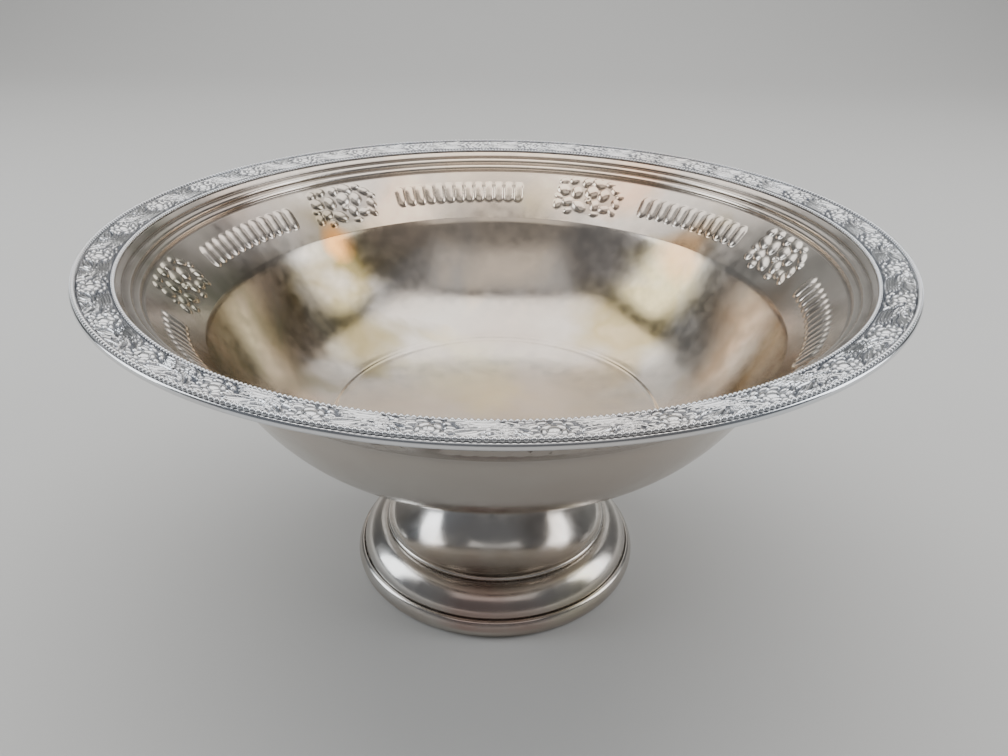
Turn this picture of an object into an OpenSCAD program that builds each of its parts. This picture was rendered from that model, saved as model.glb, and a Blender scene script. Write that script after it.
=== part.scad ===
/* [Overall] */
// Diameter over the outer rim
rim_d = 270; // [240:1:300]
// Height from the table to the tops of the outer beads
height = 135; // [122:1:150]
// Diameter of the base ring at its widest
foot_d = 111.2; // [100:0.2:124]
// Thickness of the spun sheet
sheet = 1.2; // [0.8:0.1:1.8]

/* [Rim] */
// Radial width of the plain edge wire
edge_wire_w = 1.8; // [1.4:0.1:2.4]
// Height of the plain edge wire
edge_wire_h = 2; // [1.6:0.1:2.6]
// Diameter of the outer bead wire
outer_bead_d = 1.5; // [1.2:0.05:1.8]
// Diameter of the inner bead wire
inner_bead_d = 1.4; // [1.1:0.05:1.7]
// Radial width of the stamped flower border
border_w = 9.2; // [8:0.1:11]
// Thickness of the border's plate under its relief
border_plate = 0.65; // [0.5:0.05:1]
// Height of the rose relief above the plate
rose_rise = 1; // [0.7:0.1:1.5]
// Number of roses around the border
rose_count = 30; // [24:2:36]
// Direction of the first seam between border sections, in degrees
seam_angle = 84; // [0:1:89]

/* [Moulded slope and band] */
// Radial width of the moulded slope below the border
slope_w = 7.2; // [6:0.1:9]
// Drop of the moulded slope
slope_drop = 7.6; // [6.5:0.1:9]
// Bulge of the two round mouldings
reed_bulge = 0.7; // [0.4:0.1:1]
// Radial width of the fluted band
band_w = 15.6; // [13:0.1:18]
// Drop of the fluted band
band_drop = 16.8; // [14:0.1:19]
// Pitch of the flutes, in degrees
flute_pitch = 2.4; // [2.2:0.02:2.5]
// Width of a flute
flute_w = 4; // [3:0.1:4.2]
// Length of a flute down the slope
flute_len = 9.7; // [8:0.1:12]
// Rise of the flutes and flowers above the band
emboss_rise = 0.8; // [0.5:0.05:1.1]

/* [Well] */
// Depth of the well's underside below the band
well_drop = 49.8; // [42:0.5:56]

/* [Stem and foot] */
// Outer radius of the stem's neck
neck_r = 23; // [19:0.5:27]
// Height of the solder ring under the bowl
collar_h = 2.4; // [1.6:0.1:4]
// Height of the foot dome
dome_top_h = 16.4; // [13:0.1:20]
// Radial width of the dome outside the stem's rolled edge
dome_w = 9.4; // [7:0.1:12]
// Height of the base ring
base_h = 7.2; // [6:0.1:9]
// Radial width of the base ring outside the dome
base_side_w = 2.6; // [2:0.1:4]

/* [Hidden] */
curve_steps = 14;
wire_steps = 12;
$fn = 96;

silver = [0.72, 0.7, 0.67];
bright = [0.82, 0.82, 0.82];
solder = [0.5, 0.5, 0.52];

quarter = 90;
full_turn = 360;
overrun = 4;
solder_gap = 0.05;

// Rim radii, from the outside inwards
rim_r = rim_d / 2;
border_out_r = rim_r - edge_wire_w;
border_in_r = border_out_r - border_w;
bead_seat_w = 1.4;
bead_seat_r = border_in_r - bead_seat_w;
slope_foot_r = bead_seat_r - slope_w;
ledge_r = slope_foot_r - band_w;

// Rim heights, from the bead tops down
bead_sink_share = 0.37;
bead_in_share = 0.6;
edge_wire_z = height - outer_bead_d * (1 - bead_sink_share / 2);
flange_tilt = 0.12;
border_edge_drop = 0.3;
flange_edge_z = edge_wire_z - border_edge_drop - border_plate;
flange_in_z = flange_z(bead_seat_r);
slope_foot_z = flange_in_z - slope_drop;
ledge_z = slope_foot_z - band_drop;

// Slope of the band
band_tilt = atan2(band_drop, band_w);
band_len = norm([band_w, band_drop]);
band_normal = [-sin(band_tilt), cos(band_tilt)];
slope_dir = [slope_w, slope_drop] / norm([slope_w, slope_drop]);
slope_normal = [-slope_dir[1], slope_dir[0]];

// Well curve, on the underside of the sheet
well_pull_shares = [0.169, 0.795, 0.646];
well_r = ledge_r - sheet * band_normal[0];
well_z = ledge_z - sheet * band_normal[1];
well_bottom_z = well_z - well_drop;
well_ctrl = [
  [well_r, well_z],
  [well_r * (1 - well_pull_shares[0]), well_z - well_drop * well_pull_shares[1]],
  [well_r * well_pull_shares[2], well_bottom_z],
  [0, well_bottom_z]
];
well_under = [for (i = [0:curve_steps]) bezier(well_ctrl, i / curve_steps)];
well_top = [
  for (i = [1:curve_steps])
    bezier(well_ctrl, i / curve_steps) + sheet * bezier_normal(well_ctrl, i / curve_steps)
];
under_table = [for (i = [curve_steps:-1:0]) well_under[i]];

// Moulded slope: plain strip, groove, two round mouldings and a groove, as shares of its length
slope_len = norm([slope_w, slope_drop]);
slope_shares = [0.18, 0.24, 0.3, 0.56, 0.61, 0.87, 0.935];
groove_depth = 0.45;
slope_line = concat(
  [slope_point(0), slope_point(slope_len * slope_shares[0])],
  [slope_point(slope_len * slope_shares[1]) - slope_normal * groove_depth],
  reed(slope_len * slope_shares[2], slope_len * slope_shares[3], reed_bulge),
  reed(slope_len * slope_shares[4], slope_len * slope_shares[5], reed_bulge),
  [slope_point(slope_len * slope_shares[6]) - slope_normal * groove_depth],
  [slope_point(slope_len)]
);

// Ornament places, along the band from its lower edge and across the border from its inner edge
// Each group of flutes: direction of its middle, number of flutes and share of the way up
flute_groups = [
  [41, 12, 0.56],
  [100.2, 13, 0.56],
  [157, 12, 0.56],
  [217, 15, 0.53],
  [281, 15, 0.53],
  [343.5, 14, 0.52]
];
flower_angles = [13.7, 68.2, 129, 184.6, 249, 313.5];
plain_direction = 24.2;
flower_up_share = 0.56;
petal_count = 6;
petal_ring_r = 5.6;
petal_foot = 2.2;
leaf_count = 5;
leaf_arc = 100;
leaf_ring = [12.6, 7.6];
leaf_foot = 1.8;
leaf_rise_share = 0.8;
boss_foot = 2.8;
emboss_root = sheet / 2;
bump_top_share = 0.6;
bump_sink = 0.12;
rose_out_share = 0.47;
rose_foot = border_w * 0.38;
rose_shares = [0.8, 0.55, 0.4, 0.2];
rose_petal_share = 0.75;
border_root = border_plate / 2;
bud_out_share = 0.6;
bud_foot = border_w * 0.18;

// Foot radii, from the base ring in to the stem's rolled edge
foot_r = foot_d / 2;
dome_foot_r = foot_r - base_side_w;
stem_edge_r = dome_foot_r - dome_w;

// Stem heights and radii
collar_flare = 2.5;
collar_top_z = lookup(neck_r - sheet, under_table) - solder_gap;
neck_top_z = collar_top_z - collar_h;
stem_base_z = dome_top_h;
stem_edge_h = 1.7;
stem_edge_w = 2.2;
stem_pull_shares = [0.49, 0.34, 0.1];
stem_foot_r = stem_edge_r - stem_edge_w;
stem_foot_z = stem_base_z + stem_edge_h / 2;
stem_drop = neck_top_z - stem_foot_z;
stem_ctrl = [
  [neck_r, neck_top_z],
  [neck_r, neck_top_z - stem_drop * stem_pull_shares[0]],
  [neck_r + (stem_foot_r - neck_r) * stem_pull_shares[1], stem_foot_z + stem_drop * stem_pull_shares[2]],
  [stem_foot_r, stem_foot_z]
];

// Dome and base ring
dome_in_r = stem_edge_r - 2 * stem_edge_w;
dome_shoulder_r = stem_edge_r + stem_edge_w / 2;
dome_flange_z = base_h - sheet;
dome_pull_share = 0.45;
dome_ctrl = [
  [dome_shoulder_r, stem_base_z],
  [dome_shoulder_r + (dome_foot_r - dome_shoulder_r) * dome_pull_share, stem_base_z],
  [dome_foot_r, base_h + (stem_base_z - base_h) * dome_pull_share],
  [dome_foot_r, base_h]
];
base_steps = 10;
base_round_share = 0.85;
lip_gap = 0.3;
lip_r = dome_foot_r + lip_gap;
base_ledge_w = 2.5;
base_undercut = 1.3;
base_in_r = dome_foot_r - base_ledge_w;
base_rest_r = foot_r - base_undercut;

// Height of the flange's top at a radius
function flange_z(r) = flange_edge_z - (border_out_r - r) * flange_tilt;

// Point of a cubic curve with four control points
function bezier(p, t) =
  p[0] * pow(1 - t, 3) + 3 * p[1] * t * pow(1 - t, 2) + 3 * p[2] * t * t * (1 - t) + p[3] * pow(t, 3);

// Unit normal of the curve on its upper side, as it runs from the rim to the axis
function bezier_normal(p, t) =
  let(
    d = (p[1] - p[0]) * pow(1 - t, 2) + 2 * (p[2] - p[1]) * t * (1 - t) + (p[3] - p[2]) * t * t
  )
  [d[1], -d[0]] / norm(d);

// Points of a round moulding that stands on the slope between two distances from its top
function reed(from, to, bulge) = [
  for (k = [0:4])
    let(t = k / 4, s = from + (to - from) * t)
    slope_point(s) + slope_normal * bulge * sin(180 * t)
];

// Point of the moulded slope at a distance down from the bead seat
function slope_point(s) = [bead_seat_r, flange_in_z] - slope_dir * s;

// Places its children on the band, at a direction and a share of the way up
module on_band(direction, up_share) {
  rotate([0, 0, direction])
    translate([ledge_r + band_w * up_share, 0, ledge_z + band_drop * up_share])
      rotate([0, -band_tilt, 0])
        children();
}

// Places its children on the band, at a distance up and a distance along it from another place
module beside(direction, up_share, up, along) {
  share = up_share + up / band_len;
  on_band(direction + atan(along / (ledge_r + band_w * share)), share)
    children();
}

// Places its children on the border's plate, at a direction and a share of its width
module on_border(direction, out_share) {
  r = border_in_r + border_w * out_share;
  rotate([0, 0, direction])
    translate([r, 0, flange_z(r) + border_plate])
      rotate([0, -atan(flange_tilt), 0])
        children();
}

// Upper side of the sheet from the rim to the axis
shell_top = concat(
  [[border_out_r, flange_edge_z]],
  slope_line,
  [[ledge_r, ledge_z]],
  well_top
);

// Underside of the sheet from the rim to the axis
flange_normal = [-flange_tilt, 1] / norm([flange_tilt, 1]);
shell_under = concat(
  [[border_out_r, flange_edge_z - sheet]],
  [under_corner([bead_seat_r, flange_in_z], flange_normal, slope_normal)],
  [under_corner([slope_foot_r, slope_foot_z], slope_normal, band_normal)],
  well_under
);

// Corner of the underside below a corner of the top, between faces with two normals
function under_corner(p, n1, n2) = p - sheet * (n1 + n2) / (1 + n1 * n2);

// Reversed copy of a list
function reversed(list) = [for (i = [len(list) - 1:-1:0]) list[i]];

// One long oval flute along the band
module flute() {
  straight = flute_len - flute_w;
  translate([0, 0, -emboss_root])
    linear_extrude(emboss_root + emboss_rise) {
      square([straight, flute_w], center = true);
      for (side = [-1, 1])
        translate([side * straight / 2, 0]) circle(d = flute_w, $fn = 24);
    }
}

// One round bump with sloping sides, rooted below the plane z = 0
module bump(foot, rise, root) {
  rotate_extrude($fn = 24)
    polygon([
      [0, -root],
      [foot, -root],
      [foot, -bump_sink],
      [foot * bump_top_share, rise],
      [0, rise]
    ]);
}

// One flower cluster at a direction: a boss, its round petals and an arc of leaves on each side
module flower(direction) {
  on_band(direction, flower_up_share)
    bump(boss_foot, emboss_rise, emboss_root);
  for (k = [0:petal_count - 1])
    let(a = k * full_turn / petal_count)
      beside(direction, flower_up_share, petal_ring_r * cos(a), petal_ring_r * sin(a))
        bump(petal_foot, emboss_rise, emboss_root);
  for (side = [-1, 1])
    for (k = [0:leaf_count - 1])
      let(a = leaf_arc * (k / (leaf_count - 1) - 1 / 2))
        beside(direction, flower_up_share, leaf_ring[1] * sin(a), side * leaf_ring[0] * cos(a))
          bump(leaf_foot, emboss_rise * leaf_rise_share, emboss_root);
}

// All ornament of the band
module band_ornament() {
  for (direction = flower_angles)
    flower(direction);
  for (group = flute_groups)
    for (k = [0:group[1] - 1])
      on_band(group[0] + (k - (group[1] - 1) / 2) * flute_pitch, group[2])
        flute();
}

// Bowl sheet, which closes on itself in a plain space between a flower and the flutes
module bowl_shell() {
  color(silver) {
    rotate([0, 0, plain_direction])
      rotate_extrude() polygon(concat(shell_top, reversed(shell_under)));
    band_ornament();
  }
}

module rim_edge_wire() {
  low_z = edge_wire_z - edge_wire_h;
  bulge = edge_wire_w / 3;
  color(bright)
    rotate_extrude()
      polygon([
        [border_out_r + solder_gap, low_z],
        [rim_r - bulge, low_z],
        [rim_r, low_z + bulge],
        [rim_r, edge_wire_z - bulge],
        [rim_r - bulge / 2, edge_wire_z],
        [border_out_r + solder_gap, edge_wire_z]
      ]);
}

// Wedge of the full height that holds one quarter, from a direction on
module quarter_wedge(from) {
  rotate([0, 0, from])
    translate([0, 0, flange_in_z - overrun])
      cube([rim_r + overrun, rim_r + overrun, 2 * overrun + outer_bead_d]);
}

// One rose: a boss inside a round of petals
module rose() {
  petal_rise = rose_rise * rose_petal_share;
  rotate_extrude($fn = 24)
    polygon([
      [0, -border_root],
      [rose_foot, -border_root],
      [rose_foot, -bump_sink],
      [rose_foot * rose_shares[0], petal_rise],
      [rose_foot * rose_shares[1], petal_rise],
      [rose_foot * rose_shares[2], petal_rise / 2],
      [rose_foot * rose_shares[3], rose_rise],
      [0, rose_rise]
    ]);
}

// One stamped quarter of the border, from a direction on
module border_quarter(from) {
  rose_pitch = full_turn / rose_count;
  first = floor(from / rose_pitch) - 1;
  last = ceil((from + quarter) / rose_pitch) + 1;
  color(bright)
    intersection() {
      quarter_wedge(from);
      union() {
        rotate_extrude()
          polygon([
            [border_in_r, flange_z(border_in_r)],
            [border_out_r, flange_z(border_out_r)],
            [border_out_r, flange_z(border_out_r) + border_plate],
            [border_in_r, flange_z(border_in_r) + border_plate]
          ]);
        for (k = [first:last]) {
          on_border(k * rose_pitch, rose_out_share)
            rose();
          on_border((k + 1 / 2) * rose_pitch, bud_out_share)
            bump(bud_foot, rose_rise * rose_petal_share, border_root);
        }
      }
    }
}

module rim_border_right() {
  border_quarter(seam_angle - quarter);
}

module rim_border_back() {
  border_quarter(seam_angle);
}

module rim_border_left() {
  border_quarter(seam_angle + quarter);
}

module rim_border_front() {
  border_quarter(seam_angle + 2 * quarter);
}

// Ring of round wire whose underside is a soldered flat at the given height
module flat_wire_ring(ring_r, wire_d, flat_z, sink_share) {
  centre = [ring_r, flat_z + wire_d / 2 * (1 - sink_share)];
  flat_angle = asin(1 - sink_share);
  sweep = full_turn / 2 + 2 * flat_angle;
  rotate_extrude()
    polygon([
      for (i = [0:wire_steps])
        let(a = -flat_angle + sweep * i / wire_steps)
        centre + wire_d / 2 * [cos(a), sin(a)]
    ]);
}

module outer_bead_wire() {
  ring_r = rim_r - edge_wire_w * bead_in_share;
  color(bright) flat_wire_ring(ring_r, outer_bead_d, edge_wire_z, bead_sink_share);
}

module inner_bead_wire() {
  ring_r = (border_in_r + bead_seat_r) / 2;
  color(bright) flat_wire_ring(ring_r, inner_bead_d, flange_z(border_in_r) + solder_gap, bead_sink_share);
}

module stem_solder_ring() {
  top_r = neck_r + collar_flare;
  color(solder)
    rotate_extrude()
      difference() {
        translate([neck_r - sheet, neck_top_z]) square([sheet + collar_flare, collar_h]);
        translate([top_r, neck_top_z]) scale([collar_flare, collar_h]) circle(r = 1, $fn = 48);
      }
}

module stem_trumpet() {
  outside = [for (i = [0:curve_steps]) bezier(stem_ctrl, i / curve_steps)];
  inside = [
    for (i = [0:curve_steps])
      bezier(stem_ctrl, i / curve_steps) + sheet * bezier_normal(stem_ctrl, i / curve_steps)
  ];
  color(silver)
    rotate_extrude()
      polygon(concat(
        outside,
        [
          [stem_edge_r - stem_edge_h / 3, stem_base_z + stem_edge_h],
          [stem_edge_r, stem_base_z + stem_edge_h / 2],
          [stem_edge_r, stem_base_z],
          [stem_foot_r - sheet, stem_base_z]
        ],
        [for (p = reversed(inside)) if (p[1] > stem_base_z + solder_gap) p]
      ));
}

module foot_dome() {
  outside = [for (i = [0:curve_steps]) bezier(dome_ctrl, i / curve_steps)];
  inside = [
    for (i = [0:curve_steps])
      bezier(dome_ctrl, i / curve_steps) + sheet * bezier_normal(dome_ctrl, i / curve_steps)
  ];
  color(silver)
    rotate_extrude()
      polygon(concat(
        [[dome_in_r, stem_base_z - sheet], [dome_in_r, stem_base_z]],
        outside,
        [[dome_foot_r, dome_flange_z], [base_in_r, dome_flange_z], [base_in_r, base_h]],
        reversed(inside)
      ));
}

module foot_base_ring() {
  round_side = [
    for (i = [0:base_steps])
      let(t = i / base_steps)
      [
        base_rest_r + (foot_r - base_rest_r) * sin(180 * pow(t, base_round_share)),
        base_h * t
      ]
  ];
  color(silver)
    rotate_extrude()
      polygon(concat(
        [[base_in_r, 0]],
        round_side,
        [[lip_r, base_h], [lip_r, dome_flange_z], [base_in_r, dome_flange_z]]
      ));
}

bowl_shell();
rim_edge_wire();
rim_border_right();
rim_border_back();
rim_border_left();
rim_border_front();
outer_bead_wire();
inner_bead_wire();
stem_solder_ring();
stem_trumpet();
foot_dome();
foot_base_ring();
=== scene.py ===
"""A footed compote bowl of worn silver plate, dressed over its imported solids.

Every visible piece is a mesh worked out in millimetres, in the frame of the solids, and scaled to metres.
The foot, the bowl's sheet and the work on its rim are a class each. Each piece stands for its solid and
takes a procedural plate finish. Directions are in degrees, from the right round by the back. A name that
ends in share is a part of another size, from 0 to 1.
"""

import logging
import math
from collections.abc import Sequence
from dataclasses import dataclass, field
from enum import Enum

import bpy
import numpy as np
from mathutils import Matrix, Vector


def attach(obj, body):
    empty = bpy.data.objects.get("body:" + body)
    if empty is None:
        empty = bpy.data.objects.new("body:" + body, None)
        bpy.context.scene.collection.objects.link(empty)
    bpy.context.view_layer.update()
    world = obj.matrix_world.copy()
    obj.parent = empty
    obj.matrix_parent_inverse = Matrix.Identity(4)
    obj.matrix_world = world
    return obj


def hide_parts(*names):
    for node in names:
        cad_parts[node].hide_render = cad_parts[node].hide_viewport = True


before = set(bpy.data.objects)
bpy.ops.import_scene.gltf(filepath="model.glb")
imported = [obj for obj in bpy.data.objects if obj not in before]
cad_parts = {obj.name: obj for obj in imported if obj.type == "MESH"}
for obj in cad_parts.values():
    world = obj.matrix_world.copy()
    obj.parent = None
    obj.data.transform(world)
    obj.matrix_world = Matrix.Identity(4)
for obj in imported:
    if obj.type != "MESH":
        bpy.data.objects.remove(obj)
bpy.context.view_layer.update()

LOG = logging.getLogger("compote")
MM = 0.001
BODY = "root"
FULL_TURN = 360.0
HALF_TURN = 180.0
STROKE_STEPS = 90
TAPER_POWER = 0.7
PLAIN_COLUMNS = 360
WIRE_COLUMNS = 720

Face = tuple[int, ...]
Pair = tuple[float, float]
Triple = tuple[float, float, float]
Levels = tuple[float, float, int]
Rows = np.ndarray | Sequence[Sequence[float]]
Value = bpy.types.NodeSocket | float | Triple


class Slot(Enum):
    """Material slots of the record."""

    BOWL = "bowl_plate"
    RIM = "rim_plate"
    FOOT = "foot_plate"
    SOLDER = "solder"


def bezier(points: Rows, t: np.ndarray) -> np.ndarray:
    """Points of a cubic curve.

    Args:
        points: four control points.
        t: positions from 0 to 1.

    Returns:
        One row for each position.
    """
    t = t[:, None]
    a, b, c, d = np.asarray(points, float)
    return a * (1 - t) ** 3 + 3 * b * t * (1 - t) ** 2 + 3 * c * t * t * (1 - t) + d * t**3


def arc(centre: Pair, radii: Pair, start: float, end: float, count: int) -> np.ndarray:
    """Points of a round stretch of a profile.

    Args:
        centre: radius and height of its centre.
        radii: its half sizes outward and upward.
        start: direction of the first point in degrees.
        end: direction of the last point in degrees.
        count: number of points.

    Returns:
        The points, radius and height.
    """
    a = np.radians(np.linspace(start, end, count))
    r = centre[0] + radii[0] * np.cos(a)
    z = centre[1] + radii[1] * np.sin(a)
    return np.stack([r, z], 1)


def normals(line: np.ndarray) -> np.ndarray:
    """Unit normals on the upper side of a profile that runs from the rim to the axis.

    Args:
        line: profile points, radius and height.

    Returns:
        One unit normal for each point.
    """
    d = np.gradient(line, axis=0)
    n = np.stack([d[:, 1], -d[:, 0]], 1)
    return n / np.linalg.norm(n, axis=1)[:, None]


def upper_side(start: np.ndarray, end: np.ndarray) -> np.ndarray:
    """Unit normal on the upper side of a straight run of a profile that goes towards the axis."""
    run = (end - start) / np.linalg.norm(end - start)
    return np.array([run[1], -run[0]])


def resample(line: np.ndarray, step: float) -> np.ndarray:
    """Points a fixed step apart along a profile, with its corners kept.

    Args:
        line: profile points.
        step: the largest distance between two points.

    Returns:
        The finer profile.
    """
    out = [line[0]]
    for a, b in zip(line[:-1], line[1:]):
        count = max(1, math.ceil(float(np.linalg.norm(b - a)) / step))
        out.extend(a + (b - a) * (k + 1) / count for k in range(count))
    return np.array(out)


def around(angle: np.ndarray, r: np.ndarray | float, z: np.ndarray | float) -> np.ndarray:
    """Points around the axis, one a row, in directions given in radians."""
    return np.stack([r * np.cos(angle), r * np.sin(angle), z + 0 * angle], 1)


def across(angle: np.ndarray, centre: float) -> np.ndarray:
    """How far directions lie from a middle one, from -180 to 180 degrees."""
    return (angle - centre + HALF_TURN) % FULL_TURN - HALF_TURN


@dataclass
class Lathe:
    """Collects rings of points around the axis and joins them into a mesh, the last ring to the first."""

    name: str
    rings: list[np.ndarray] = field(default_factory=list)
    recess: list[np.ndarray] = field(default_factory=list)
    capped: set[int] = field(default_factory=set)

    def ring(self, points: np.ndarray, recess: np.ndarray) -> None:
        """Adds one ring of points in millimetres, and how deep in a hollow each lies, from 0 to 1."""
        self.rings.append(points)
        self.recess.append(recess)

    def turned(self, line: Rows, columns: int = PLAIN_COLUMNS, recess: np.ndarray | None = None) -> None:
        """Adds a plain ring for each point of a profile.

        Args:
            line: profile points, radius and height.
            columns: points on each ring.
            recess: one value for each profile point.
        """
        angle = np.arange(columns) * 2 * math.pi / columns
        levels = np.zeros(len(line)) if recess is None else recess
        for (r, z), level in zip(line, levels):
            self.ring(around(angle, r, z), np.full(columns, level))

    def cap(self) -> None:
        """Closes the last ring and the next one with a flat face each, with no faces between them."""
        self.capped.add(len(self.rings) - 1)

    def build(self) -> bpy.types.Object:
        """Makes the mesh object.

        Returns:
            The object, in metres.
        """
        counts = [len(points) for points in self.rings]
        starts = [int(v) for v in np.concatenate([[0], np.cumsum(counts)])]
        faces: list[Face] = []
        for a in range(len(counts)):
            b = (a + 1) % len(counts)
            if a in self.capped:
                faces.append(tuple(range(starts[a], starts[a] + counts[a])))
                faces.append(tuple(range(starts[b] + counts[b] - 1, starts[b] - 1, -1)))
            else:
                faces.extend(ring_faces(starts[a], counts[a], starts[b], counts[b]))
        points = np.concatenate(self.rings) * MM
        return mesh_object(self.name, points, faces, np.concatenate(self.recess))


def ring_faces(a0: int, na: int, b0: int, nb: int) -> list[Face]:
    """Faces between two rings, whose counts are equal or a whole multiple of each other.

    Args:
        a0: first index of the first ring.
        na: points on the first ring.
        b0: first index of the second ring.
        nb: points on the second ring.

    Returns:
        The faces, with the same winding for every pair.
    """
    if na >= nb:
        k = na // nb
        return [
            (b0 + (i + 1) % nb, b0 + i, *(a0 + (i * k + j) % na for j in range(k + 1)))
            for i in range(nb)
        ]
    k = nb // na
    return [
        (a0 + i, a0 + (i + 1) % na, *(b0 + (i * k + j) % nb for j in range(k, -1, -1)))
        for i in range(na)
    ]


def mesh_object(
    name: str, points: np.ndarray, faces: list[Face], recess: np.ndarray
) -> bpy.types.Object:
    """Makes a smooth-shaded object that carries a recess value at each point.

    Args:
        name: object name.
        points: points in metres.
        faces: the indices of each face's points.
        recess: one value for each point.

    Returns:
        The object, linked to the scene.
    """
    mesh = bpy.data.meshes.new(name)
    mesh.from_pydata(points.tolist(), [], faces)
    mesh.update()
    mesh.calc_loop_triangles()
    corners = np.empty(len(mesh.loop_triangles) * 3, np.int32)
    mesh.loop_triangles.foreach_get("vertices", corners)
    a, b, c = points[corners.reshape(-1, 3)].transpose(1, 0, 2)
    if float(np.einsum("ij,ij->", a, np.cross(b, c))) < 0:
        mesh.flip_normals()
    layer = mesh.attributes.new("recess", "FLOAT", "POINT")
    layer.data.foreach_set("value", np.asarray(recess, np.float32))
    mesh.polygons.foreach_set("use_smooth", np.ones(len(mesh.polygons), bool))
    made = bpy.data.objects.new(name, mesh)
    bpy.context.scene.collection.objects.link(made)
    return made


def join(parts: list[bpy.types.Object], name: str) -> bpy.types.Object:
    """Joins objects into one.

    Args:
        parts: the objects, the first of which stays.
        name: its new name.

    Returns:
        The joined object.
    """
    with bpy.context.temp_override(
        active_object=parts[0], selected_objects=parts, selected_editable_objects=parts, object=parts[0]
    ):
        bpy.ops.object.join()
    parts[0].name = name
    parts[0].data.name = name
    return parts[0]


@dataclass(frozen=True)
class Bump:
    """One rounded bump of an ornament: its centre, half sizes and rise, and its turn in degrees."""

    x: float
    y: float
    half_x: float
    half_y: float
    rise: float
    turn: float = 0.0

    def height(self, x: np.ndarray, y: np.ndarray | float) -> np.ndarray:
        """Height of the bump over a grid.

        Args:
            x: places along the ornament.
            y: places up the ornament.

        Returns:
            Heights, zero outside the bump.
        """
        c, s = math.cos(math.radians(self.turn)), math.sin(math.radians(self.turn))
        u, v = (x - self.x) * c + (y - self.y) * s, (y - self.y) * c - (x - self.x) * s
        q = (u / self.half_x) ** 2 + (v / self.half_y) ** 2
        return self.rise * np.clip(1 - q, 0, None) ** 0.5


@dataclass(frozen=True)
class Stroke:
    """One raised tendril or rib: its cubic curve, half width, rise, and the width's share at its tips."""

    curve: tuple[Pair, Pair, Pair, Pair]
    half_w: float
    rise: float
    tip_share: float

    def height(self, x: np.ndarray, y: np.ndarray) -> np.ndarray:
        """Height of the stroke over a grid.

        Args:
            x: places along the ornament.
            y: places up the ornament.

        Returns:
            Heights, zero outside the stroke.
        """
        t = np.linspace(0, 1, STROKE_STEPS)
        line = bezier(self.curve, t)
        swell = self.tip_share + (1 - self.tip_share) * np.sin(math.pi * t) ** TAPER_POWER
        thick = self.half_w * swell
        away = (x[..., None] - line[:, 0]) ** 2 + (y[..., None] - line[:, 1]) ** 2
        return self.rise * np.clip(1 - np.min(away / thick**2, axis=-1), 0, None) ** 0.5


def creased(heights: list[np.ndarray], softness: float, depth: float) -> np.ndarray:
    """The highest of several shapes over a grid, with a crease wherever two of them meet.

    Args:
        heights: heights of the shapes, two or more.
        softness: difference of height at which a crease ends.
        depth: share of the height that is taken away at the bottom of a crease.

    Returns:
        The heights.
    """
    best = np.zeros_like(heights[0])
    second = np.zeros_like(heights[0])
    for shape in heights:
        second = np.maximum(second, np.minimum(best, shape))
        best = np.maximum(best, shape)
    crease = np.clip((best - second) / softness, 0, 1) ** TAPER_POWER
    return best * np.where(second > 0, 1 - depth * (1 - crease), 1)


@dataclass(frozen=True)
class Flower:
    """The band's flower cluster: a domed centre with a small ring, plump petals and outer leaf bumps."""

    centre: Bump = Bump(0.5, 2.9, 3.1, 3.2, 1.1)
    ring_r: float = 0.95
    ring_w: float = 0.5
    ring_at: Pair = (-0.2, -1.0)
    dip_share: float = 0.35
    ring_share: float = 0.5
    crease_softness: float = 0.2
    crease_depth: float = 0.35
    petals: tuple[Bump, ...] = (
        Bump(-6.4, 2.3, 2.4, 3.2, 1.0, 15),
        Bump(-2.8, 7.5, 2.1, 2.3, 0.9),
        Bump(2.8, 7.5, 3.4, 2.5, 1.0, -25),
        Bump(6.2, 2.1, 2.5, 3.1, 1.0, -10),
        Bump(3.1, -3.3, 2.1, 2.9, 0.9, 10),
        Bump(-4.1, -4.6, 3.6, 2.3, 1.0, -38),
    )
    leaves: tuple[Bump, ...] = (
        Bump(-12.6, 2.9, 3.3, 2.5, 0.9, -40),
        Bump(-13.7, 7.3, 2.0, 1.9, 0.75),
        Bump(-8.9, 8.0, 2.0, 1.9, 0.75),
        Bump(-14.2, -0.6, 2.0, 1.2, 0.6, -30),
        Bump(-9.7, -2.7, 2.6, 2.4, 0.9),
        Bump(-13.9, -4.2, 1.9, 2.5, 0.75),
        Bump(-8.7, -7.2, 1.7, 1.7, 0.7),
        Bump(8.2, 7.9, 2.0, 1.5, 0.7),
        Bump(11.4, 5.2, 2.8, 1.8, 0.8, -35),
        Bump(13.8, 2.7, 1.8, 1.6, 0.7),
        Bump(12.6, -1.1, 1.7, 2.6, 0.85, 20),
        Bump(11.4, -4.9, 1.5, 2.7, 0.85, 35),
        Bump(7.8, -4.5, 2.6, 2.0, 0.85),
        Bump(3.6, -7.5, 2.0, 1.2, 0.6),
    )

    def height(self, x: np.ndarray, y: float) -> np.ndarray:
        """Relief of the cluster along one level, as a share of the band's rise.

        Args:
            x: places along the band from the cluster's centre.
            y: place up the band from it.

        Returns:
            Heights as shares.
        """
        bumps = [bump.height(x, y) for bump in (self.centre, *self.petals, *self.leaves)]
        plain = creased(bumps, self.crease_softness, self.crease_depth)
        away = np.hypot(x - self.ring_at[0], y - self.ring_at[1])
        ring = np.clip(1 - ((away - self.ring_r) / self.ring_w) ** 2, 0, None) ** 0.5
        inside = np.where(away < self.ring_r, self.dip_share, plain)
        return np.where(ring > 0, self.dip_share + self.ring_share * ring, inside)


@dataclass(frozen=True)
class FluteGroup:
    """A row of flutes on the band: its middle in degrees, their number and its share of the way up."""

    angle: float
    count: int
    up_share: float


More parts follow.
